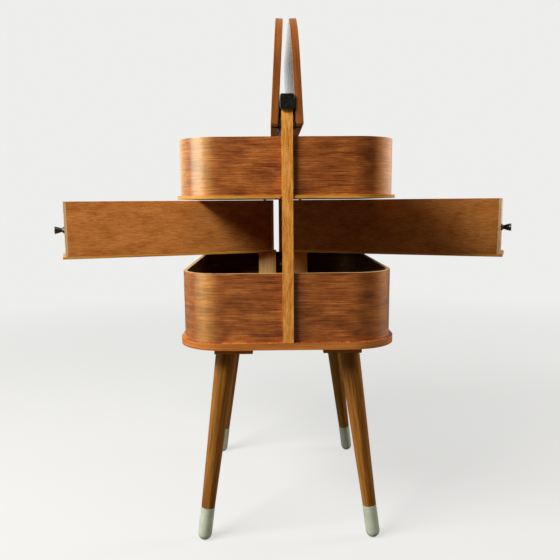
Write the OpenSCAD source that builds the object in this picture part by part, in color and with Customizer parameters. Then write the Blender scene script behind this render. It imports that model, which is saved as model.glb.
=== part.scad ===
// Sewing box on four splayed legs: two open bins held one above the other by a pair
// of posts, two swing-out trays between them, a pair of lids and a carrying handle.
// Millimetres, +Z up, -Y is the front, origin on the floor under the middle of the box.

/* [Bins] */
// Width of the bins from side to side
bin_w = 300; // [260:5:360]
// Depth of the bins from front to back
bin_d = 380; // [340:5:460]
// Outside radius of the bins' corners
corner_r = 60; // [40:2:80]
// Thickness of the bins' bent plywood walls
wall_t = 5; // [4:0.5:7]
// Height of the lower bin's wall
lower_wall_h = 96; // [70:2:130]
// Height of the upper bin's wall
upper_wall_h = 76.5; // [50:0.5:110]
// Thickness of the upper bin's floor board
upper_floor_t = 4.5; // [3:0.5:8]
// How far the floor boards stand out round the walls
floor_lip = 5; // [3:0.5:7]

/* [Base] */
// Thickness of the base board
base_t = 10; // [8:1:16]
// Thickness of the two cleats under the base board
cleat_t = 9; // [8:1:16]
// Width of a cleat
cleat_w = 54; // [44:2:70]
// How far the cleats' ends stop short of the base board's ends
cleat_inset = 17; // [5:1:30]
// Screws in each cleat
cleat_screws = 3; // [2:1:4]
// Diameter of those screws
cleat_screw_d = 4; // [3:0.5:5]
// Wood left above the ends of those screws
cleat_screw_cover = 3; // [2:0.5:5]
// Play round a screw in the piece that it holds, on the radius
screw_play = 0.2; // [0.1:0.1:0.5]

/* [Legs] */
// Height from the floor to the underside of the cleats
leg_h = 286; // [200:5:360]
// Diameter of a leg at its top
leg_top_d = 30; // [26:1:36]
// Diameter of a leg at its foot cap
leg_foot_d = 20; // [18:1:26]
// Distance of a leg's top from the side of the bins
leg_in_side = 61; // [50:1:70]
// Distance of a leg's top from the end of the bins
leg_in_end = 38; // [30:1:70]
// How far a foot stands out to the side of its leg's top
splay_x = 38; // [10:1:60]
// How far a foot stands out to the front or back of its leg's top
splay_y = 15; // [0:1:40]
// Length of a foot cap
cap_l = 50; // [35:1:70]
// How far a foot cap stands out round its leg
cap_stand = 0.25; // [0:0.05:1]
// Thickness of a foot cap's wall
cap_wall = 2.5; // [1.5:0.5:4]
// Depth of solid cap under the end of the leg
cap_sole = 10; // [5:1:15]
// Diameter of the flat that a foot cap stands on
foot_flat_d = 8; // [4:0.5:14]
// Diameter of the studs that hold the legs
stud_d = 8; // [6:1:10]
// Length of a stud in its leg
stud_in_leg = 28; // [20:1:40]
// Length of a stud above its leg, in the cleat and the base board
stud_above = 14; // [10:1:18]

/* [Posts and handle] */
// Width of a post
post_w = 15; // [12:1:18]
// Thickness of a post
post_t = 7; // [6:0.5:12]
// Width of the handle bar
handle_w = 19; // [17:0.5:24]
// Height of the handle bar
handle_h = 20; // [12:1:26]
// Edge rounding of the handle bar
handle_round = 3; // [1:0.5:5]
// Height of the hand space between the rail and the handle bar
hand_space = 22.5; // [20:0.5:60]
// How far the handle bar's ends stand out past the posts
handle_over = 4; // [0:0.5:12]
// Wood beside a post's tenon in the handle bar, at each side
tenon_cheek = 3; // [1:0.5:4]
// Wood before and behind that tenon
tenon_shoulder = 1; // [0.5:0.5:2]
// Diameter of the screws that hold the bins to the posts
screw_d = 3; // [2.5:0.5:4]
// Wood left in front of the ends of those screws
post_screw_cover = 1; // [0.5:0.5:2]
// Heights of those screws, as shares of a wall's height
post_screw_rows = [0.25, 0.75];

/* [Lids] */
// Thickness of the lids
lid_t = 10; // [8:0.5:14]
// How far the lids stand out past the bins all round
lid_over = 7.5; // [0:0.5:12]
// Gap between a shut lid and the rim of the upper bin
lid_gap = 0.5; // [0.3:0.1:2]
// Width of the fixed rail between the lids
rail_w = 16; // [14:1:24]

/* [Hinges] */
// Length of a lid hinge
hinge_l = 35; // [25:1:50]
// Distance of a hinge's middle from its end of the rail
hinge_end = 40; // [25:1:90]
// Width of a hinge leaf
leaf_h = 8.5; // [6:0.5:9.5]
// Thickness of a hinge leaf
leaf_t = 1.2; // [1:0.1:1.6]
// Gap between the leaves of a hinge when its lid is shut
leaf_gap = 0.3; // [0.3:0.1:0.6]
// Diameter of a hinge's barrel
barrel_d = 5; // [4:0.5:6]
// Diameter of a hinge pin
hinge_pin_d = 2; // [1.5:0.5:2.5]
// Gap at each end of a moving knuckle
knuckle_gap = 0.25; // [0.1:0.05:0.5]
// Gap between an open lid and the handle bar that it leans on
lean_gap = 0.3; // [0.1:0.1:1]

/* [Trays] */
// Height of a tray, floor board included
tray_h = 99; // [70:1:130]
// Thickness of a tray's bent plywood wall
tray_wall_t = 4.5; // [4:0.5:6]
// Thickness of a tray's floor board
tray_floor_t = 4.5; // [3:0.5:8]
// Thickness of a tray's flat inner panel
panel_t = 4.5; // [4:0.5:8]
// Gap above and below a tray
tray_gap = 1; // [0.8:0.1:3]
// Gap between a shut tray and the posts, at its sides and ends
post_gap = 2; // [1.5:0.5:4]
// How far the left tray is swung out from shut
left_open = 72; // [0:1:110]
// How far the right tray is swung out from shut
right_open = 68; // [0:1:110]

/* [Tray pivots] */
// Diameter of the steel rods that the trays turn on
rod_d = 5; // [4:0.5:6]
// Distance of a rod from the middle plane
rod_x = 34; // [30:1:38]
// Distance of a rod from the inside of the tray's back wall
rod_inset = 5; // [4:0.5:8]
// Width of the wooden blocks that hold the rods
block_w = 33; // [28:1:40]
// Depth of those blocks from front to back
block_d = 22; // [16:1:30]
// Depth of a rod in the block of the lower bin
rod_seat = 60; // [30:5:65]
// Diameter of a rod's head
rod_head_d = 9; // [7:0.5:10]
// Height of a rod's head
rod_head_h = 2.5; // [1.5:0.5:4]
// Diameter of the washers under the trays
washer_d = 14; // [10:1:18]
// Gap between a washer and its tray
washer_play = 0.1; // [0.05:0.05:0.3]
// Running clearance round a rod or a hinge pin, on the radius
running_gap = 0.05; // [0.02:0.01:0.1]

/* [Knobs] */
// Length of a tray's knob
knob_l = 16.5; // [12:0.5:24]
// Diameter of the knob's foot
knob_foot_d = 13; // [10:1:20]
// Diameter of the knob's head
knob_head_d = 13; // [10:1:20]
// Length of the knob's foot, up to its waist
knob_foot_l = 3.8; // [3:0.1:10]
// Thickness of the knob's rims and length of its waist
knob_rim_t = 1.3; // [0.8:0.1:2]
// Diameter of the knob's waist
knob_waist_d = 7.4; // [5:0.2:9]
// Diameter of the knob halfway along its flare
knob_belly_d = 11; // [9:0.2:13]
// Distance of a knob from the middle plane, with the tray shut
knob_x = 40; // [30:1:70]

/* [Hidden] */
$fn = 96;

LEFT = -1;
RIGHT = 1;
FRONT = -1;
BACK = 1;

// Depth that a cutting shape runs past the face it cuts
past = 1;
// Length that is more than the whole box in any direction
reach = 3 * (bin_w + bin_d);

// Heights of the underside of each layer, from the floor up
base_z = leg_h + cleat_t;
lower_z = base_z + base_t;
lower_rim_z = lower_z + lower_wall_h;
tray_z = lower_rim_z + tray_gap;
upper_floor_z = tray_z + tray_h + tray_gap;
upper_z = upper_floor_z + upper_floor_t;
rim_z = upper_z + upper_wall_h;
lid_z = rim_z + lid_gap;
lid_top_z = lid_z + lid_t;
handle_z = lid_top_z + hand_space;

// Places of the posts' faces, from the middle
post_back_y = bin_d / 2;
post_front_y = post_back_y + post_t;
post_tenon_w = post_w - 2 * tenon_cheek;
post_tenon_t = post_t - 2 * tenon_shoulder;
post_tenon_h = handle_h / 2;
rail_h = lid_top_z - rim_z;
rail_tenon_l = post_t / 2;
rail_tenon_w = rail_w / 2;
rail_tenon_h = rail_h / 2;
rail_tenon_z = rim_z + (rail_h - rail_tenon_h) / 2;

// Trays
slot_half = post_w / 2 + post_gap;
tray_d = bin_d - post_gap;
tray_wall_h = tray_h - tray_floor_t;
rod_y = tray_d / 2 - tray_wall_t - rod_inset;
knob_z = tray_z + tray_h / 2;
// Farthest that a tray's back corner may reach from its rod and still swing past the post
swing_r = norm([rod_x - post_w / 2, post_back_y - rod_y]) - post_gap / 2;

// Hinges
barrel_r = barrel_d / 2;
pin_x = rail_w / 2 + leaf_t + leaf_gap / 2;
pin_z = lid_top_z + barrel_r;
lid_edge_x = pin_x + leaf_gap / 2 + leaf_t;
hinge_y = bin_d / 2 - hinge_end;
knuckles = 3;
// From a pin's axis to the place on the handle bar's edge that an open lid leans on
lean_x = handle_w / 2 + lean_gap - pin_x;
lean_z = handle_z + handle_h - handle_round - pin_z;
lean_l = sqrt(lean_x * lean_x + lean_z * lean_z - barrel_r * barrel_r);
lid_open = atan2(lean_z, lean_x) + atan2(barrel_r, lean_l);

// Legs: the axis runs from the middle of the foot up to the underside of the cleat
leg_top_x = bin_w / 2 - leg_in_side;
leg_top_y = bin_d / 2 - leg_in_end;
leg_lean = atan2(norm([splay_x, splay_y]), leg_h);
leg_turn = atan2(splay_y, splay_x);
leg_l = norm([splay_x, splay_y, leg_h]);
cap_d = leg_foot_d + 2 * cap_stand;
// Middle of the cap's round end, along the leg's axis from the floor
cap_ball_s = sqrt(cap_d * cap_d - foot_flat_d * foot_flat_d) / 2 / cos(leg_lean);
cleat_l = bin_d + 2 * post_t - 2 * cleat_inset;
cleat_x = leg_top_x + leg_top_d / 2 - cleat_w / 2;
cleat_screw_l = cleat_t + base_t - cleat_screw_cover;

// Screws through the bins' walls into the posts
post_screw_x = post_w / 4;
post_screw_l = wall_t + post_t - post_screw_cover;

wood = [0.60, 0.33, 0.15];
pale_wood = [0.80, 0.56, 0.30];
grey_green = [0.62, 0.65, 0.58];
black = [0.06, 0.06, 0.06];
steel = [0.55, 0.55, 0.55];
brass = [0.72, 0.58, 0.30];

// ---- Shapes that several pieces share ----

// Draws the right-hand shape on either side of the box
module on_side(side) {
    if (side == RIGHT) children();
    else mirror([1, 0, 0]) children();
}

// Draws the shape of the back right-hand corner at any corner
module at_corner(side, end) {
    on_side(side) {
        if (end == BACK) children();
        else mirror([0, 1, 0]) children();
    }
}

// Board with four rounded corners, its underside at z = 0
module rounded_board(w, d, r, h) {
    linear_extrude(h) {
        square([w - 2 * r, d], center = true);
        square([w, d - 2 * r], center = true);
        for (x = [-1, 1], y = [-1, 1])
            translate([x * (w / 2 - r), y * (d / 2 - r)]) circle(r);
    }
}

// What lies on the right of a plane at x = from
module right_of(from) {
    intersection() {
        children();
        translate([from, -reach, -reach]) cube(2 * reach);
    }
}

// Bent wall of half a bin or tray, open at the top and towards the middle
module half_wall(d, t, h, from) {
    right_of(from) difference() {
        rounded_board(bin_w, d, corner_r, h);
        translate([0, 0, -past])
            rounded_board(bin_w - 2 * t, d - 2 * t, corner_r - t, h + 2 * past);
    }
}

// Countersunk screw pointing along +Z, its head's flat face at z = 0
module flat_screw(d, l) {
    rotate_extrude() polygon([[0, 0], [d, 0], [d / 2, d / 2], [d / 2, l], [0, l]]);
}

// Hole for such a screw, loose round its shank
module screw_hole(d, depth) {
    translate([0, 0, -past]) cylinder(d = d + 2 * screw_play, h = depth + past);
    translate([0, 0, -past]) cylinder(r = d, h = past);
    cylinder(r1 = d, r2 = d / 2, h = d / 2);
}

// ---- Base ----

// Places its children at each screw of one cleat, pointing up from the cleat's underside
module at_cleat_screws() {
    pitch = cleat_l / (cleat_screws + 1);
    for (i = [1 : cleat_screws])
        translate([cleat_x, i * pitch - cleat_l / 2, leg_h]) children();
}

// Moves a shape that stands on the origin to the axis of the back right-hand leg
module on_leg() {
    translate([leg_top_x + splay_x, leg_top_y + splay_y, 0])
        rotate([0, 0, leg_turn]) rotate([0, -leg_lean, 0]) children();
}

module leg_stud() {
    on_leg() translate([0, 0, leg_l - stud_in_leg])
        cylinder(d = stud_d, h = stud_in_leg + stud_above);
}

module base_plate() {
    color(wood) difference() {
        translate([0, 0, base_z])
            rounded_board(bin_w + 2 * floor_lip, bin_d + 2 * post_t, corner_r + floor_lip, base_t);
        for (side = [LEFT, RIGHT]) {
            for (end = [FRONT, BACK]) at_corner(side, end) leg_stud();
            on_side(side) at_cleat_screws() cylinder(d = cleat_screw_d, h = cleat_screw_l);
        }
    }
}

module cleat(side) {
    color(wood) on_side(side) difference() {
        translate([cleat_x - cleat_w / 2, -cleat_l / 2, leg_h]) cube([cleat_w, cleat_l, cleat_t]);
        for (end = [FRONT, BACK]) at_corner(RIGHT, end) leg_stud();
        at_cleat_screws() screw_hole(cleat_screw_d, cleat_t + past);
    }
}

module cleat_screws_all() {
    color(brass) for (side = [LEFT, RIGHT])
        on_side(side) at_cleat_screws() flat_screw(cleat_screw_d, cleat_screw_l);
}

// ---- Legs ----

module leg(side, end) {
    color(wood) at_corner(side, end) difference() {
        intersection() {
            on_leg() {
                translate([0, 0, cap_l])
                    cylinder(d1 = leg_foot_d, d2 = leg_top_d, h = leg_l - cap_l + leg_top_d * tan(leg_lean));
                translate([0, 0, cap_sole]) cylinder(d = cap_d - 2 * cap_wall, h = cap_l);
            }
            translate([-reach, -reach, leg_h - 2 * reach]) cube(2 * reach);
        }
        leg_stud();
    }
}

// Sleeve with a ball end that is cut flat on the floor
module foot_cap(side, end) {
    color(grey_green) at_corner(side, end) difference() {
        on_leg() {
            translate([0, 0, cap_ball_s]) cylinder(d = cap_d, h = cap_l - cap_ball_s);
            translate([0, 0, cap_ball_s]) sphere(d = cap_d);
        }
        on_leg() translate([0, 0, cap_sole]) cylinder(d = cap_d - 2 * cap_wall, h = cap_l);
        translate([0, 0, -reach / 2]) cube(reach, center = true);
    }
}

module leg_studs() {
    color(steel) for (side = [LEFT, RIGHT], end = [FRONT, BACK]) at_corner(side, end) leg_stud();
}

// ---- Bins, posts and handle ----

// Places its children at each screw between the right-hand half of the bins and the back post,
// pointing outwards from the inside of the wall
module at_post_screws(walls = [[lower_z, lower_wall_h], [upper_z, upper_wall_h]]) {
    for (wall = walls, row = post_screw_rows)
        translate([post_screw_x, bin_d / 2 - wall_t, wall[0] + row * wall[1]])
            rotate([-90, 0, 0]) children();
}

module bin_wall(side, z, h) {
    color(wood) on_side(side) difference() {
        translate([0, 0, z]) half_wall(bin_d, wall_t, h, 0);
        for (end = [FRONT, BACK]) at_corner(RIGHT, end)
            at_post_screws([[z, h]]) screw_hole(screw_d, wall_t + past);
    }
}

module upper_floor() {
    color(pale_wood) difference() {
        translate([0, 0, upper_floor_z])
            rounded_board(bin_w + 2 * floor_lip, bin_d + 2 * floor_lip, corner_r + floor_lip,
                upper_floor_t);
        for (end = [FRONT, BACK])
            translate([0, end * (post_back_y + reach / 2), upper_floor_z])
                cube([2 * slot_half, reach, 2 * upper_floor_t + past], center = true);
        for (side = [LEFT, RIGHT])
            translate([side * rod_x, rod_y, upper_floor_z - past])
                cylinder(d = rod_d + 2 * running_gap, h = upper_floor_t + 2 * past);
    }
}

module post(end) {
    color(pale_wood) at_corner(RIGHT, end) difference() {
        union() {
            translate([-post_w / 2, post_back_y, lower_z])
                cube([post_w, post_t, handle_z - lower_z]);
            translate([-post_tenon_w / 2, post_back_y + (post_t - post_tenon_t) / 2, handle_z - past])
                cube([post_tenon_w, post_tenon_t, post_tenon_h + past]);
        }
        translate([-rail_tenon_w / 2, post_back_y - past, rail_tenon_z])
            cube([rail_tenon_w, rail_tenon_l + past, rail_tenon_h]);
        for (side = [LEFT, RIGHT]) on_side(side) at_post_screws() cylinder(d = screw_d, h = post_screw_l);
    }
}

module handle_bar() {
    handle_l = 2 * (post_front_y + handle_over);
    color(black) difference() {
        translate([0, handle_l / 2, handle_z + handle_h / 2]) rotate([90, 0, 0])
            rounded_board(handle_w, handle_h, handle_round, handle_l);
        for (end = [FRONT, BACK]) at_corner(RIGHT, end)
            translate([-post_tenon_w / 2, post_back_y + (post_t - post_tenon_t) / 2, handle_z - past])
                cube([post_tenon_w, post_tenon_t, post_tenon_h + past]);
    }
}

module centre_rail() {
    color(wood) {
        translate([-rail_w / 2, -bin_d / 2, rim_z]) cube([rail_w, bin_d, rail_h]);
        translate([-rail_tenon_w / 2, -bin_d / 2 - rail_tenon_l, rail_tenon_z])
            cube([rail_tenon_w, bin_d + 2 * rail_tenon_l, rail_tenon_h]);
    }
}

module post_screws() {
    color(brass) for (side = [LEFT, RIGHT], end = [FRONT, BACK])
        at_corner(side, end) at_post_screws() flat_screw(screw_d, post_screw_l);
}

// ---- Tray pivots ----

// Upright block in a back corner beside the middle, bored or not by what calls it
module corner_block(from, back_y, z, h) {
    translate([from, back_y - block_d, z]) cube([block_w, block_d, h]);
}

module pivot_block(side) {
    color(pale_wood) on_side(side) difference() {
        corner_block(slot_half + panel_t, bin_d / 2 - wall_t, lower_z, lower_wall_h);
        translate([rod_x, rod_y, lower_rim_z - rod_seat]) cylinder(d = rod_d, h = rod_seat + past);
    }
}

module pivot_rod(side) {
    color(black) on_side(side) translate([rod_x, rod_y, 0]) {
        translate([0, 0, lower_rim_z - rod_seat]) cylinder(d = rod_d, h = rod_seat + upper_z - lower_rim_z);
        translate([0, 0, upper_z]) cylinder(d = rod_head_d, h = rod_head_h);
    }
}

module pivot_washers() {
    color(brass) for (side = [LEFT, RIGHT]) on_side(side) translate([rod_x, rod_y, lower_rim_z])
        difference() {
            cylinder(d = washer_d, h = tray_gap - washer_play);
            translate([0, 0, -past]) cylinder(d = rod_d + 2 * running_gap, h = tray_gap + 2 * past);
        }
}

// ---- Lid hinges ----

// Places its children at both hinges of the right-hand lid, on the pin's axis
module at_hinges() {
    for (end = [FRONT, BACK]) translate([pin_x, end * hinge_y, pin_z]) children();
}

// Leaf on the right of the pin's axis with its knuckles, before the pin is bored
module leaf(places, gap) {
    knuckle_l = hinge_l / knuckles;
    translate([leaf_gap / 2, -hinge_l / 2, -barrel_r - leaf_gap - leaf_h]) cube([leaf_t, hinge_l, leaf_h]);
    for (k = places) translate([0, (k - 0.5) * knuckle_l + gap, 0]) {
        rotate([-90, 0, 0]) cylinder(r = barrel_r, h = knuckle_l - 2 * gap);
        translate([leaf_gap / 2, 0, -barrel_r - leaf_gap - past])
            cube([leaf_t, knuckle_l - 2 * gap, barrel_r + leaf_gap + past]);
    }
}

module rail_leaves(side) {
    color(black) on_side(side) at_hinges() difference() {
        mirror([1, 0, 0]) leaf([-1, 1], 0);
        rotate([90, 0, 0]) cylinder(d = hinge_pin_d, h = hinge_l + 2 * past, center = true);
    }
}

module hinge_pins() {
    color(steel) for (side = [LEFT, RIGHT]) on_side(side) at_hinges()
        rotate([90, 0, 0]) cylinder(d = hinge_pin_d, h = hinge_l, center = true);
}

// Swings a shut right-hand lid open about its pins
module open_lid(side) {
    on_side(side) translate([pin_x, 0, pin_z]) rotate([0, -lid_open, 0])
        translate([-pin_x, 0, -pin_z]) children();
}

module lid_leaves(side) {
    color(black) open_lid(side) at_hinges() difference() {
        leaf([0], knuckle_gap);
        rotate([90, 0, 0])
            cylinder(d = hinge_pin_d + 2 * running_gap, h = hinge_l + 2 * past, center = true);
    }
}

module lid(side) {
    color(wood) open_lid(side) translate([0, 0, lid_z]) right_of(lid_edge_x)
        rounded_board(bin_w + 2 * lid_over, bin_d + 2 * lid_over, corner_r + lid_over, lid_t);
}

// ---- Trays ----

// Swings a shut right-hand tray out about its rod
module open_tray(side) {
    angle = side == RIGHT ? right_open : left_open;
    on_side(side) translate([rod_x, rod_y, 0]) rotate([0, 0, angle])
        translate([-rod_x, -rod_y, 0]) children();
}

module rod_bore() {
    translate([rod_x, rod_y, tray_z - past]) cylinder(d = rod_d + 2 * running_gap, h = tray_h + 2 * past);
}

// Places its children at the knob on the front wall, pointing forward from the wall's face
module at_knob(depth) {
    translate([knob_x, depth - tray_d / 2, knob_z]) rotate([90, 0, 0]) children();
}

module tray_wall(side) {
    color(wood) open_tray(side) difference() {
        translate([0, 0, tray_z + tray_floor_t]) half_wall(tray_d, tray_wall_t, tray_wall_h, slot_half);
        at_knob(tray_wall_t) screw_hole(screw_d, tray_wall_t + past);
    }
}

module tray_panel(side) {
    panel_l = tray_d - 2 * tray_wall_t;
    color(pale_wood) open_tray(side) translate([slot_half, -panel_l / 2, tray_z + tray_floor_t])
        cube([panel_t, panel_l, tray_wall_h]);
}

module tray_floor(side) {
    color(pale_wood) open_tray(side) difference() {
        intersection() {
            translate([0, 0, tray_z]) right_of(slot_half)
                rounded_board(bin_w + 2 * floor_lip, tray_d + 2 * floor_lip, corner_r + floor_lip,
                    tray_floor_t);
            // The back corner is rounded about the rod, so that it swings past the post
            union() {
                translate([rod_x, -reach, 0]) cube(2 * reach);
                translate([-reach, rod_y - 2 * reach, 0]) cube(2 * reach);
                translate([rod_x, rod_y, tray_z - past]) cylinder(r = swing_r, h = tray_h);
            }
        }
        rod_bore();
    }
}

module tray_block(side) {
    color(pale_wood) open_tray(side) difference() {
        corner_block(slot_half + panel_t, tray_d / 2 - tray_wall_t, tray_z + tray_floor_t, tray_wall_h);
        rod_bore();
    }
}

// Turned knob with a narrow waist between its foot and its head
module tray_knob(side) {
    rim = knob_rim_t;
    color(black) open_tray(side) at_knob(0) difference() {
        rotate_extrude() polygon([
            [0, 0], [knob_foot_d / 2, 0], [knob_foot_d / 2, rim / 2], [knob_waist_d / 2, knob_foot_l],
            [knob_waist_d / 2, knob_foot_l + rim], [knob_belly_d / 2, (knob_foot_l + knob_l) / 2],
            [knob_head_d / 2, knob_l - rim],
            [knob_head_d / 2, knob_l - rim / 2], [knob_head_d / 2 - rim / 2, knob_l], [0, knob_l]
        ]);
        translate([0, 0, -past]) cylinder(d = screw_d, h = knob_l / 2 + past);
    }
}

module tray_screw(side) {
    color(brass) open_tray(side) at_knob(tray_wall_t) flat_screw(screw_d, tray_wall_t + knob_l / 2);
}

// ---- The whole box ----

base_plate();
cleat(LEFT);  // cleat_left
cleat(RIGHT);  // cleat_right
cleat_screws_all();
leg(LEFT, FRONT);  // leg_front_left
leg(RIGHT, FRONT);  // leg_front_right
leg(LEFT, BACK);  // leg_back_left
leg(RIGHT, BACK);  // leg_back_right
foot_cap(LEFT, FRONT);  // foot_cap_front_left
foot_cap(RIGHT, FRONT);  // foot_cap_front_right
foot_cap(LEFT, BACK);  // foot_cap_back_left
foot_cap(RIGHT, BACK);  // foot_cap_back_right
leg_studs();
bin_wall(LEFT, lower_z, lower_wall_h);  // lower_wall_left
bin_wall(RIGHT, lower_z, lower_wall_h);  // lower_wall_right
upper_floor();
bin_wall(LEFT, upper_z, upper_wall_h);  // upper_wall_left
bin_wall(RIGHT, upper_z, upper_wall_h);  // upper_wall_right
post(FRONT);  // post_front
post(BACK);  // post_back
handle_bar();
centre_rail();
post_screws();
pivot_block(LEFT);  // pivot_block_left
pivot_block(RIGHT);  // pivot_block_right
pivot_rod(LEFT);  // pivot_rod_left
pivot_rod(RIGHT);  // pivot_rod_right
pivot_washers();
rail_leaves(LEFT);  // rail_leaves_left
rail_leaves(RIGHT);  // rail_leaves_right
hinge_pins();
lid(LEFT);  // lid_left
lid(RIGHT);  // lid_right
lid_leaves(LEFT);  // lid_leaves_left
lid_leaves(RIGHT);  // lid_leaves_right
tray_wall(LEFT);  // tray_wall_left
tray_panel(LEFT);  // tray_panel_left
tray_floor(LEFT);  // tray_floor_left
tray_block(LEFT);  // tray_block_left
tray_knob(LEFT);  // tray_knob_left
tray_screw(LEFT);  // tray_screw_left
tray_wall(RIGHT);  // tray_wall_right
tray_panel(RIGHT);  // tray_panel_right
tray_floor(RIGHT);  // tray_floor_right
tray_block(RIGHT);  // tray_block_right
tray_knob(RIGHT);  // tray_knob_right
tray_screw(RIGHT);  // tray_screw_right
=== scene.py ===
from math import cos, radians, sin

import bmesh
import bpy
from mathutils import Euler, Matrix, Vector


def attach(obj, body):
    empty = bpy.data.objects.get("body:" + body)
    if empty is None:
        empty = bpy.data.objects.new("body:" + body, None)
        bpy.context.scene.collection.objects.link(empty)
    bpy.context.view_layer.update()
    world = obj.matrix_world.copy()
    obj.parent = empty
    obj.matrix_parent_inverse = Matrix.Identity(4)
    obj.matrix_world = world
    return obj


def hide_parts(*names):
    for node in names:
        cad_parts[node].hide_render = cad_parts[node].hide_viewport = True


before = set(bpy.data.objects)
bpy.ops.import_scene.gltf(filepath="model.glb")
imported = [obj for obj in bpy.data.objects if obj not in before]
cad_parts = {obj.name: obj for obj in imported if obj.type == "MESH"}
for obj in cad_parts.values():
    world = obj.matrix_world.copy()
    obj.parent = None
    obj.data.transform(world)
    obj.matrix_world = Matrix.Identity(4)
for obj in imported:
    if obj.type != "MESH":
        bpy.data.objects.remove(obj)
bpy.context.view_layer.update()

# ---- Camera ----
# Stands a little to the left of the box and looks slightly down at its narrow end,
# from just over a metre away.
PICTURE = 560
FOCAL_LENGTH = 619.85
AXIS_X = 281.75
AXIS_Y = 299.21
camera = bpy.data.objects.new("camera", bpy.data.cameras.new("camera"))
bpy.context.scene.collection.objects.link(camera)
bpy.context.scene.camera = camera
camera.location = (-0.02196, -1.03145, 0.49712)
yaw = radians(0.90)
pitch = radians(8.90)
roll = radians(-0.44)
forward = Vector((sin(yaw) * cos(pitch), cos(yaw) * cos(pitch), -sin(pitch)))
level = forward.cross(Vector((0, 0, 1))).normalized()
upward = level.cross(forward)
across = cos(roll) * level + sin(roll) * upward
above = cos(roll) * upward - sin(roll) * level
camera.rotation_euler = Matrix((across, above, -forward)).transposed().to_euler()
camera.data.sensor_width = 36
camera.data.lens = 36 * FOCAL_LENGTH / PICTURE
camera.data.shift_x = (PICTURE / 2 - AXIS_X) / PICTURE
camera.data.shift_y = (AXIS_Y - PICTURE / 2) / PICTURE


# ---- Base board and cleats ----
# A board with rounded corners, veneered in teak and lipped round its edge. Two teak battens
# are screwed up into it and take the legs.
class Signal:
    """An output of a shader node. Arithmetic on it adds Math nodes."""

    def __init__(self, socket):
        self.socket = socket

    def node(self, kind, settings, sockets, out=0):
        """Adds a node to this one's tree: its settings first, then its sockets' values or links."""
        tree = self.socket.id_data
        made = tree.nodes.new(kind)
        for key, value in settings.items():
            if key != "stops":
                setattr(made, key, value)
                continue
            stops = made.color_ramp.elements
            for number, (at, colour) in enumerate(value):
                stop = stops[number] if number < 2 else stops.new(at)
                stop.position = at
                stop.color = (*colour, 1)
        for key, value in sockets.items():
            if isinstance(value, Signal):
                tree.links.new(value.socket, made.inputs[key])
            else:
                made.inputs[key].default_value = value
        return Signal(made.outputs[out])

    def maths(self, operation, a, b=0.0):
        return self.node("ShaderNodeMath", {"operation": operation}, {0: a, 1: b})

    def __add__(self, other):
        return self.maths("ADD", self, other)

    def __sub__(self, other):
        return self.maths("SUBTRACT", self, other)

    def __rsub__(self, other):
        return self.maths("SUBTRACT", other, self)

    def __mul__(self, other):
        return self.maths("MULTIPLY", self, other)

    __radd__ = __add__
    __rmul__ = __mul__


def linear(red, green, blue):
    """A colour written in 0 to 255 as a screen shows it, in the numbers that shaders use."""
    return tuple(
        v / 12.92 if v <= 0.04045 else ((v + 0.055) / 1.055) ** 2.4
        for v in (red / 255, green / 255, blue / 255)
    )


def surface(name, roughness, coat=0.0, coat_blur=0.16, gleam=0.4):
    """A new finish: its material, its shader and the place on the piece as a signal."""
    material = bpy.data.materials.new(name)
    material.use_nodes = True
    shader = material.node_tree.nodes["Principled BSDF"]
    shader.inputs["Roughness"].default_value = roughness
    shader.inputs["Coat Weight"].default_value = coat
    shader.inputs["Coat Roughness"].default_value = coat_blur
    shader.inputs["Specular IOR Level"].default_value = gleam
    place = material.node_tree.nodes.new("ShaderNodeTexCoord").outputs["Object"]
    return material, shader, Signal(place)


def feed(shader, **signals):
    """Links signals to the shader's sockets, such as Base_Color."""
    for name, signal in signals.items():
        signal.socket.id_data.links.new(signal.socket, shader.inputs[name.replace("_", " ")])


def moved(place, home=(0, 0, 0), turn=(0, 0, 0), size=(1, 1, 1)):
    """The place on a piece counted from home, turned back by turn and measured in size."""
    return place.node(
        "ShaderNodeMapping",
        {"vector_type": "TEXTURE"},
        {"Vector": place, "Location": home, "Rotation": turn, "Scale": size},
    )


def noise(place, detail=4.0, roughness=0.55, out=0):
    """Soft random spots of about the size that the place is measured in."""
    return place.node(
        "ShaderNodeTexNoise",
        {},
        {"Vector": place, "Scale": 1.0, "Detail": detail, "Roughness": roughness},
        out,
    )


# How much the streaks, the bands and the finest lines have in a wood's tone
STREAK_SHARE = 0.46
BAND_SHARE = 0.27
FINE_SHARE = 0.27
# Where the darkest wood lies in the mixed noise, and how far above it the palest
DARKEST = 0.39
TONE_REACH = 0.22
# The finest lines count as open pores from the first of these on, in full from the second
PORE_FROM = 0.58
PORE_FULL = 0.72
PORE_TINT = (0.40, 0.32, 0.24, 1)
RELIEF = 0.0003
# Light that glances off the fibres comes back golden
FIBRE_SHINE = (1.0, 0.72, 0.16, 1)


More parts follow.
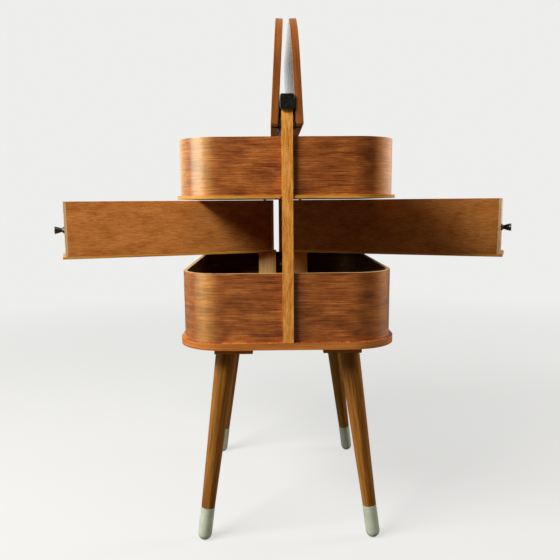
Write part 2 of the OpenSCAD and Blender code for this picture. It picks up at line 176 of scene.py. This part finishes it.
def wood(name, tones, fibre, figure, home=(0, 0, 0), turn=(0, 0, 0), roughness=0.40, coat=0.0,
         coat_blur=0.16, pores=0.5, waves=0.004, bend=None, dash=None, gleam=0.35, silk=0.0):
    """Teak or a paler wood, in tones from its dark streaks to its pale ones. fibre, figure and
    dash are the lengths of its streaks, bands and finest lines along the piece's own X, Y and
    Z. bend and waves are how long and how wide they wander, silk how the shine draws out."""
    material, shader, place = surface(name, roughness, coat, coat_blur, gleam)
    shader.inputs["Specular Tint"].default_value = FIBRE_SHINE
    shader.inputs["Anisotropic"].default_value = silk
    shader.inputs["Anisotropic Rotation"].default_value = 0.25
    place = moved(place, home, turn)
    drift = noise(moved(place, size=bend or tuple(12 * f for f in fibre)), detail=2.0, out=1)
    place = place.node(
        "ShaderNodeVectorMath", {"operation": "MULTIPLY_ADD"}, {0: drift, 1: (waves,) * 3, 2: place}
    )
    streak = noise(moved(place, size=fibre), roughness=0.6)
    band = noise(moved(place, size=figure), detail=2.0)
    fine = noise(moved(place, size=dash or tuple(f / 4 for f in fibre)), detail=2.0, roughness=0.6)
    tone = streak * STREAK_SHARE + band * BAND_SHARE + fine * FINE_SHARE
    step = TONE_REACH / (len(tones) - 1)
    colour = tone.node(
        "ShaderNodeValToRGB",
        {"stops": [(DARKEST + step * n, linear(*c)) for n, c in enumerate(tones)]},
        {"Fac": tone},
    )
    pore = fine.node(
        "ShaderNodeMapRange", {}, {"Value": fine, "From Min": PORE_FROM, "From Max": PORE_FULL}
    )
    pored = colour.node(
        "ShaderNodeMix",
        {"data_type": "RGBA", "blend_type": "MULTIPLY"},
        {0: pore * pores, 6: colour, 7: PORE_TINT},
        out=2,
    )
    relief = pored.node(
        "ShaderNodeBump", {}, {"Strength": 0.2, "Distance": RELIEF, "Height": streak - pore * 0.5}
    )
    feed(shader, Base_Color=pored, Normal=relief, Roughness=roughness - 0.06 + fine * 0.16)
    return material


# Points closer than this are one, and faces that turn less than this many degrees are flat
SAME_POINT = 0.000002
SAME_PLANE = 0.5


def eased(node, body, materials, edge=0.0008, choose=None, sharp=60):
    """A copy of a CAD node with its edges eased, which stands for it. choose gives the number
    of the material for a face, from the face's middle and its normal."""
    shape = bmesh.new()
    shape.from_mesh(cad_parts[node].data)
    bmesh.ops.remove_doubles(shape, verts=shape.verts, dist=SAME_POINT)
    bmesh.ops.dissolve_limit(
        shape, angle_limit=radians(SAME_PLANE), use_dissolve_boundaries=False,
        verts=shape.verts, edges=shape.edges, delimit={"NORMAL"},
    )
    for face in shape.faces:
        face.material_index = choose(face.calc_center_median(), face.normal) if choose else 0
    corners = [e for e in shape.edges if e.is_manifold and e.calc_face_angle() > radians(sharp)]
    bmesh.ops.bevel(
        shape, geom=corners, offset=edge, offset_type="OFFSET", segments=2, profile=0.5,
        affect="EDGES", material=-1, clamp_overlap=True,
    )
    for face in shape.faces:
        face.smooth = True
    mesh = bpy.data.meshes.new(node + "_dressed")
    shape.to_mesh(mesh)
    shape.free()
    for material in materials:
        mesh.materials.append(material)
    piece = bpy.data.objects.new(mesh.name, mesh)
    bpy.context.scene.collection.objects.link(piece)
    shading = piece.modifiers.new("even shading", "WEIGHTED_NORMAL")
    shading.keep_sharp = True
    shading.weight = 50
    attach(piece, body)
    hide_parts(node)


# A face counts as turned a certain way when its normal is so by this much
FACING = 0.9


def board_face(middle, normal):
    """Tells a board's faces apart: 0 top and bottom, 1 edge."""
    return 0 if abs(normal.z) > FACING else 1


TEAK = [(92, 40, 14), (134, 67, 26), (170, 92, 38), (200, 124, 56)]
LIPPING = {"fibre": (0.16, 0.16, 0.003), "figure": (0.4, 0.4, 0.02)}
edge_teak = wood("teak edge", [(150, 80, 34), (188, 108, 48), (212, 134, 64)], **LIPPING)
board_teak = wood("teak board", TEAK, fibre=(0.009, 0.22, 0.009), figure=(0.05, 0.9, 0.05))
eased("base_plate", "stand", [board_teak, edge_teak], edge=0.002, choose=board_face)
# The battens take the paler edge teak: painted light, so that they look lit in the shade under the
# board.
for side in ("left", "right"):
    eased("cleat_" + side, "stand", [edge_teak])

# ---- Legs and foot caps ----
# Turned teak legs, tapered and splayed, each on a stud. The foot of each one is pushed into
# a grey-green cap with a round end.
LEG_FOOT = Vector((0.127, 0.167, 0))
LEG_TOP = Vector((0.089, 0.152, 0.286))
LEG_TEAK = [(104, 62, 22), (136, 84, 32), (160, 102, 40), (178, 120, 52)]
cap_material, cap_shader, cap_place = surface("grey-green cap", 0.48)
mottle = noise(moved(cap_place, size=(0.02,) * 3), detail=5.0)
scuff = noise(moved(cap_place, size=(0.002,) * 3), detail=3.0)
feed(
    cap_shader,
    Base_Color=mottle.node(
        "ShaderNodeValToRGB",
        {"stops": [(0.35, linear(176, 183, 155)), (0.65, linear(200, 206, 178))]},
        {"Fac": mottle * 0.8 + scuff * 0.2},
    ),
    Roughness=0.38 + scuff * 0.2,
    Normal=scuff.node("ShaderNodeBump", {}, {"Strength": 0.15, "Distance": RELIEF, "Height": scuff}),
)
for end, back in (("front", -1), ("back", 1)):
    for side, right in (("left", -1), ("right", 1)):
        foot = Vector((right * LEG_FOOT.x, back * LEG_FOOT.y, 0))
        top = Vector((right * LEG_TOP.x, back * LEG_TOP.y, LEG_TOP.z))
        turn = (top - foot).to_track_quat("Z", "Y").to_euler()
        grain = wood(
            f"turned teak {end} {side}", LEG_TEAK, fibre=(0.006, 0.006, 0.20),
            figure=(0.03, 0.03, 0.6), home=tuple(foot), turn=tuple(turn), waves=0.002,
        )
        eased(f"leg_{end}_{side}", "stand", [grain], sharp=40)
        eased(f"foot_cap_{end}_{side}", "stand", [cap_material],
              edge=0.0005, sharp=40)

# ---- Lower and upper bins ----
# Each bin is two halves of plywood, bent hot round a form, with teak veneer outside. The
# plies show on the rim. The upper bin stands on its own floor board.
BIN_HALF = (0.150, 0.190)
CORNER = 0.060
BIN_WALL = 0.005
# How much is taken off the edges of the plywood and of the thin floor boards
PLY_EASING = 0.0006
THIN_BOARD_EASING = 0.0012
# The layers of the plywood: how deep each lies, as a share of the wall, and its colour
PLIES = [
    (0.0, (170, 108, 56)), (0.14, (232, 198, 142)), (0.36, (186, 142, 88)),
    (0.50, (236, 204, 150)), (0.68, (190, 146, 92)), (0.86, (232, 198, 142)),
]
FIBRE_ENDS = (0.72, 0.66, 0.58, 1)


def plies(name, half, thick, home=(0, 0, 0), turn=(0, 0, 0)):
    """The sawn edge of bent plywood: layers at even depths from the bent outline."""
    material, shader, place = surface(name, 0.5)
    place = moved(place, home, turn)
    flat = place.node("ShaderNodeVectorMath", {"operation": "MULTIPLY"}, {0: place, 1: (1, 1, 0)})
    size = flat.node("ShaderNodeVectorMath", {"operation": "ABSOLUTE"}, {0: flat})
    past = size.node(
        "ShaderNodeVectorMath", {"operation": "SUBTRACT"},
        {0: size, 1: (half[0] - CORNER, half[1] - CORNER, 0)},
    )
    round_part = past.node("ShaderNodeVectorMath", {"operation": "MAXIMUM"}, {0: past, 1: (0, 0, 0)})
    reach = round_part.node("ShaderNodeVectorMath", {"operation": "LENGTH"}, {0: round_part}, out=1)
    depth = (CORNER - reach) * (1 / thick)
    layers = depth.node(
        "ShaderNodeValToRGB", {"stops": [(at, linear(*c)) for at, c in PLIES]}, {"Fac": depth}
    )
    fibres = noise(moved(place, size=(0.004, 0.004, 0.02)), detail=3.0)
    mixed = layers.node(
        "ShaderNodeMix", {"data_type": "RGBA", "blend_type": "MULTIPLY"},
        {0: fibres * 0.6, 6: layers, 7: FIBRE_ENDS}, out=2,
    )
    feed(shader, Base_Color=mixed)
    return material


def wall_face(half, thick, home=Vector((0, 0, 0)), turn=0.0):
    """Tells a bent wall's faces apart: 0 outside, 1 inside, 2 sawn."""
    back = Matrix.Rotation(-turn, 3, "Z")

    def choose(middle, normal):
        spot = back @ (middle - home)
        ends = abs(spot.x) < half[0] - CORNER and abs((back @ normal).x) > FACING
        if abs(normal.z) > FACING or ends:
            return 2
        past = [max(abs(spot[n]) - half[n] + CORNER, 0) for n in (0, 1)]
        return 0 if CORNER - Vector(past).length < thick / 2 else 1

    return choose


def upper_floor_face(middle, normal):
    """Tells the floor board's faces apart: 0 top, 1 edge, 2 underside."""
    return 2 if normal.z < -FACING else board_face(middle, normal)


POLISHED_VENEER = {
    "fibre": (0.045, 0.045, 0.0013), "figure": (0.034, 0.034, 0.012), "dash": (0.009, 0.009, 0.0008),
    "bend": (0.08, 0.08, 0.04), "waves": 0.006, "pores": 1.0, "coat": 0.85, "coat_blur": 0.30,
    "gleam": 0.85, "silk": 0.85,
}
# The insides are dark brown: partly a dark lining, and partly painted shade for the insides of the
# bins and trays, which lie in shade.
LINING_AND_PAINTED_SHADE = [(50, 32, 18), (66, 44, 24), (84, 56, 32)]
DULL_LINING = {
    "fibre": (0.10, 0.10, 0.004), "figure": (0.3, 0.3, 0.03), "coat": 0.05, "roughness": 0.5,
    "gleam": 0.1,
}
bin_veneer = wood("bin veneer", TEAK, **POLISHED_VENEER)
inner_veneer = wood("inner veneer", LINING_AND_PAINTED_SHADE, **DULL_LINING)
bin_rim = plies("bin plies", BIN_HALF, BIN_WALL)
for side in ("left", "right"):
    for storey in ("lower", "upper"):
        eased(f"{storey}_wall_{side}", "stand", [bin_veneer, inner_veneer, bin_rim],
              edge=PLY_EASING, choose=wall_face(BIN_HALF, BIN_WALL))
GOLDEN = [(160, 98, 34), (198, 134, 52), (222, 164, 78)]
GOLDEN_LIP = {"fibre": (0.12, 0.12, 0.003), "figure": (0.4, 0.4, 0.02)}
GOLDEN_BOARD = {"fibre": (0.008, 0.2, 0.008), "figure": (0.05, 0.8, 0.05)}
golden_edge = wood("golden edge", GOLDEN, **GOLDEN_LIP)
golden_board = wood("golden board", GOLDEN, **GOLDEN_BOARD)
# The underside takes the darker board teak rather than the golden board: painted shade under the floor
# board, between the bins.
eased("upper_floor", "stand", [golden_board, golden_edge, board_teak],
      edge=THIN_BOARD_EASING, choose=upper_floor_face)

# ---- Posts and centre rail ----
# Flat teak uprights at both ends carry the whole box between them. A rail between their
# tops carries the lids.
post_teak = wood(
    "post teak", [(176, 102, 42), (208, 132, 54), (226, 154, 68), (240, 176, 90)],
    fibre=(0.0016, 0.0016, 0.018), figure=(0.009, 0.009, 0.03), dash=(0.0008, 0.0008, 0.006),
    waves=0.002, pores=0.6,
)
for end in ("front", "back"):
    eased("post_" + end, "stand", [post_teak])
eased("centre_rail", "stand", [board_teak])

# ---- Handle bar ----
# A bar of hardwood across the tops of the posts, lacquered black and polished by hands.
# Its shine is a little uneven along the bar.
lacquer, lacquer_shader, lacquer_place = surface("black lacquer", 0.18, coat=0.6)
rubbed = noise(moved(lacquer_place, size=(0.004, 0.05, 0.004)))
feed(
    lacquer_shader,
    Base_Color=rubbed.node(
        "ShaderNodeValToRGB",
        {"stops": [(0.4, linear(18, 19, 16)), (0.75, linear(44, 45, 39))]}, {"Fac": rubbed},
    ),
    Roughness=0.12 + rubbed * 0.2,
    Normal=rubbed.node("ShaderNodeBump", {}, {"Strength": 0.08, "Distance": RELIEF, "Height": rubbed}),
)
eased("handle_bar", "stand", [lacquer])

# ---- Lids ----
# Two teak-veneered boards that follow the outline of the bin. Both stand open and lean on
# the handle bar.
PIN = Vector((0.00935, 0, 0.596))
LID_OPEN = radians(93.18)
for side, right in (("left", -1), ("right", 1)):
    turn = (0, -right * LID_OPEN, 0)
    placed = {"home": (right * PIN.x, 0, PIN.z), "turn": turn}
    face = wood(f"lid veneer {side}", TEAK, fibre=(0.008, 0.25, 0.008), figure=(0.045, 0.9, 0.045),
                coat=1.0, roughness=0.3, **placed)
    lipping = wood(f"lid edge {side}", [(104, 54, 22), (138, 76, 32), (164, 98, 46)], gleam=0.12,
                   **LIPPING, **placed)
    up = Euler(turn).to_matrix() @ Vector((0, 0, 1))
    eased(f"lid_{side}", f"lid_{side}", [face, lipping],
          choose=lambda middle, normal, up=up: 0 if abs(normal.dot(up)) > FACING else 1)

# ---- Trays ----
# A bent wall closed by a flat panel, on a floor board that stands out round the curve. Each
# turns on a rod through a block in its back corner.
ROD = Vector((0.034, 0.1795, 0))
TRAY_HALF = (0.150, 0.189)
TRAY_WALL = 0.0045
PANEL = [(152, 86, 38), (180, 110, 50), (194, 124, 60), (208, 140, 74)]
for side, right, opened in (("left", -1, 72), ("right", 1, 68)):
    body = "tray_" + side
    swing = right * radians(opened)
    rod = Vector((right * ROD.x, ROD.y, 0))
    # Where the middle of the shut tray goes when the tray swings out
    middle = rod + Matrix.Rotation(swing, 3, "Z") @ -rod
    placed = {"home": tuple(middle), "turn": (0, 0, swing)}
    veneer = wood(f"tray veneer {side}", TEAK, **POLISHED_VENEER, **placed)
    # The tray's inside takes the same dark lining, which is partly painted shade.
    lining = wood(f"tray lining {side}", LINING_AND_PAINTED_SHADE, **DULL_LINING, **placed)
    rim = plies(f"tray plies {side}", TRAY_HALF, TRAY_WALL, **placed)
    panel = wood(f"tray panel {side}", PANEL, fibre=(0.014, 0.014, 0.0014),
                 figure=(0.05, 0.05, 0.02), waves=0.003, pores=0.3, gleam=0.1, **placed)
    board = wood(f"tray board {side}", GOLDEN, **GOLDEN_BOARD, **placed)
    lip = wood(f"tray lip {side}", GOLDEN, **GOLDEN_LIP, **placed)
    eased("tray_wall_" + side, body, [veneer, lining, rim], edge=PLY_EASING,
          choose=wall_face(TRAY_HALF, TRAY_WALL, middle, swing))
    eased("tray_panel_" + side, body, [panel], edge=PLY_EASING)
    eased("tray_floor_" + side, body, [board, lip], edge=THIN_BOARD_EASING,
          choose=board_face)
    eased("tray_knob_" + side, body, [lacquer], edge=0.0003, sharp=35)

# ---- Rod blocks ----
# Upright blocks of pale hardwood. Those in the back of the lower bin hold the rods, and
# those in the back corners of the trays turn on them.
BLOCK_EASING = 0.001
block_wood = wood(
    "pale block", [(206, 150, 78), (234, 184, 108), (246, 208, 138)], fibre=(0.004, 0.004, 0.08),
    figure=(0.02, 0.02, 0.3), coat=0.1, roughness=0.5, pores=0.3,
)
for side in ("left", "right"):
    eased("pivot_block_" + side, "stand", [block_wood], edge=BLOCK_EASING)
    eased("tray_block_" + side, "tray_" + side, [block_wood], edge=BLOCK_EASING)


# ---- Hinges, rods, screws ----
# Black steel butt hinges and rods, brass screws and washers, plain steel pins and studs.
# The rods stand in the blocks, and the pins run through the hinges' knuckles.
def metal(name, colour, roughness, metallic):
    """A metal whose shine is rubbed uneven."""
    material, shader, place = surface(name, roughness)
    shader.inputs["Metallic"].default_value = metallic
    rub = noise(moved(place, size=(0.003,) * 3))
    tint = rub.node(
        "ShaderNodeValToRGB",
        {"stops": [(0.35, tuple(0.75 * c for c in colour)), (0.65, colour)]}, {"Fac": rub},
    )
    feed(shader, Base_Color=tint, Roughness=roughness - 0.08 + rub * 0.16)
    return material


LEAF_EASING = 0.0002
blacked = metal("blacked steel", linear(26, 26, 26), 0.35, 0.6)
plain_steel = metal("plain steel", linear(170, 170, 168), 0.35, 1.0)
dull_brass = metal("dull brass", linear(196, 164, 98), 0.38, 1.0)
for side in ("left", "right"):
    eased("rail_leaves_" + side, "stand", [blacked], edge=LEAF_EASING)
    eased("lid_leaves_" + side, "lid_" + side, [blacked], edge=LEAF_EASING)
for material, nodes in (
    (blacked, ["pivot_rod_left", "pivot_rod_right"]),
    (plain_steel, ["leg_studs", "hinge_pins"]),
    (dull_brass, ["cleat_screws_all", "post_screws", "pivot_washers", "tray_screw_left",
                  "tray_screw_right"]),
):
    for node in nodes:
        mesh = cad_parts[node].data
        mesh.materials.clear()
        mesh.materials.append(material)

# ---- Floor ----
# A pale floor without a visible end. It melts into the white backdrop away from the box,
# keeps the box's shadow, and throws little light back up.
PALE = linear(238, 238, 236)
FLOOR_SEEN = (0.74, 0.73, 0.71, 1)
FLOOR_UNSEEN = (0.17, 0.163, 0.155, 1)
FADE_FROM = 0.6
FADE_TO = 2.6
PLAIN_SHARE = 0.72
floor_shape = bmesh.new()
bmesh.ops.create_circle(floor_shape, cap_ends=True, segments=96, radius=12.0)
floor_mesh = bpy.data.meshes.new("floor")
floor_shape.to_mesh(floor_mesh)
floor_shape.free()
floor = bpy.data.objects.new("floor", floor_mesh)
bpy.context.scene.collection.objects.link(floor)
floor_material, floor_shader, floor_place = surface("floor", 0.8, gleam=0.1)
tree = floor_material.node_tree
seen = Signal(tree.nodes.new("ShaderNodeLightPath").outputs["Is Camera Ray"])
feed(floor_shader, Base_Color=seen.node(
    "ShaderNodeMix", {"data_type": "RGBA"}, {0: seen, 6: FLOOR_UNSEEN, 7: FLOOR_SEEN}, out=2,
))
radius = floor_place.node("ShaderNodeVectorMath", {"operation": "LENGTH"}, {0: floor_place}, out=1)
far = radius.node(
    "ShaderNodeMapRange", {"interpolation_type": "SMOOTHSTEP"},
    {"Value": radius, "From Min": FADE_FROM, "From Max": FADE_TO, "To Min": PLAIN_SHARE},
)
glow = far.node("ShaderNodeEmission", {}, {"Color": (*PALE, 1), "Strength": 1.0})
blend = far.node("ShaderNodeMixShader", {}, {0: far * seen, 2: glow})
tree.links.new(floor_shader.outputs[0], blend.socket.node.inputs[1])
tree.links.new(blend.socket, tree.nodes["Material Output"].inputs["Surface"])
floor_mesh.materials.append(floor_material)

# ---- Room ----
# The camera sees a white backdrop all round. The box stands in a dim room that is darker in
# front of it than behind it, and its shine shows a brighter wall behind.
ROOM_FRONT = (0.01, 0.01, 0.01)
ROOM_BEHIND = (0.45, 0.45, 0.445)
SHINE_FRONT = (0.03, 0.03, 0.03)
SHINE_BEHIND = (0.85, 0.85, 0.82)
world = bpy.data.worlds.new("studio")
world.use_nodes = True
bpy.context.scene.world = world
way = Signal(world.node_tree.nodes.new("ShaderNodeTexCoord").outputs["Generated"])
straight = way.node("ShaderNodeLightPath", {}, {}, out=0)
mirrored = way.node("ShaderNodeLightPath", {}, {}, out=3)
behind = way.node("ShaderNodeSeparateXYZ", {}, {0: way}, out=1)
dim = behind.node(
    "ShaderNodeValToRGB", {"stops": [(0.42, ROOM_FRONT), (0.66, ROOM_BEHIND)]},
    {"Fac": behind * 0.5 + 0.5},
)
bright = behind.node(
    "ShaderNodeValToRGB", {"stops": [(0.46, SHINE_FRONT), (0.60, SHINE_BEHIND)]},
    {"Fac": behind * 0.5 + 0.5},
)
room = way.node("ShaderNodeMix", {"data_type": "RGBA"}, {0: mirrored, 6: dim, 7: bright}, out=2)
sky = way.node("ShaderNodeMix", {"data_type": "RGBA"}, {0: straight, 6: room, 7: (*PALE, 1)}, out=2)
world.node_tree.links.new(sky.socket, world.node_tree.nodes["Background"].inputs["Color"])


# ---- Lamps ----
# A window high on the left lights the box, with weak lamps in front and on the right. Three
# more lamps show only in its shine: the window's glow, and warm walls behind and on the right.
def lamp(name, place, target, size, power, diffuse=True, glossy=True, colour=(1, 1, 1)):
    """A soft lamp of a width and a height that faces a target."""
    data = bpy.data.lights.new(name, "AREA")
    data.shape = "RECTANGLE"
    data.size = size[0]
    data.size_y = size[1]
    data.energy = power
    data.color = colour
    made = bpy.data.objects.new(name, data)
    bpy.context.scene.collection.objects.link(made)
    made.location = place
    made.visible_camera = False
    made.visible_diffuse = diffuse
    made.visible_glossy = glossy
    made.rotation_euler = (Vector(target) - Vector(place)).to_track_quat("-Z", "Y").to_euler()


LIT_SPOT = (0, 0, 0.45)
SHINE_SPOT = (0, 0, 0.50)
lamp("window", (-1.28, -0.90, 1.63), LIT_SPOT, (1.20, 0.62), 64)
lamp("window's glow", (-1.47, -0.66, 0.80), SHINE_SPOT, (0.96, 0.84), 20, diffuse=False,
     colour=(0.92, 1.0, 1.0))
lamp("back glow", (-1.34, 0.84, 0.70), SHINE_SPOT, (1.5, 0.84), 4.5, diffuse=False,
     colour=(1.0, 0.66, 0.10))
lamp("front", (-0.30, -1.20, 1.70), LIT_SPOT, (0.8, 0.5), 1.0)
lamp("right", (1.80, 0.25, 0.70), LIT_SPOT, (0.6, 1.2), 16, glossy=False)
lamp("right glow", (1.58, 0.28, 0.75), SHINE_SPOT, (2.2, 1.1), 12, diffuse=False,
     colour=(1.0, 0.5, 0.2))

bpy.context.scene.view_settings.view_transform = "Standard"
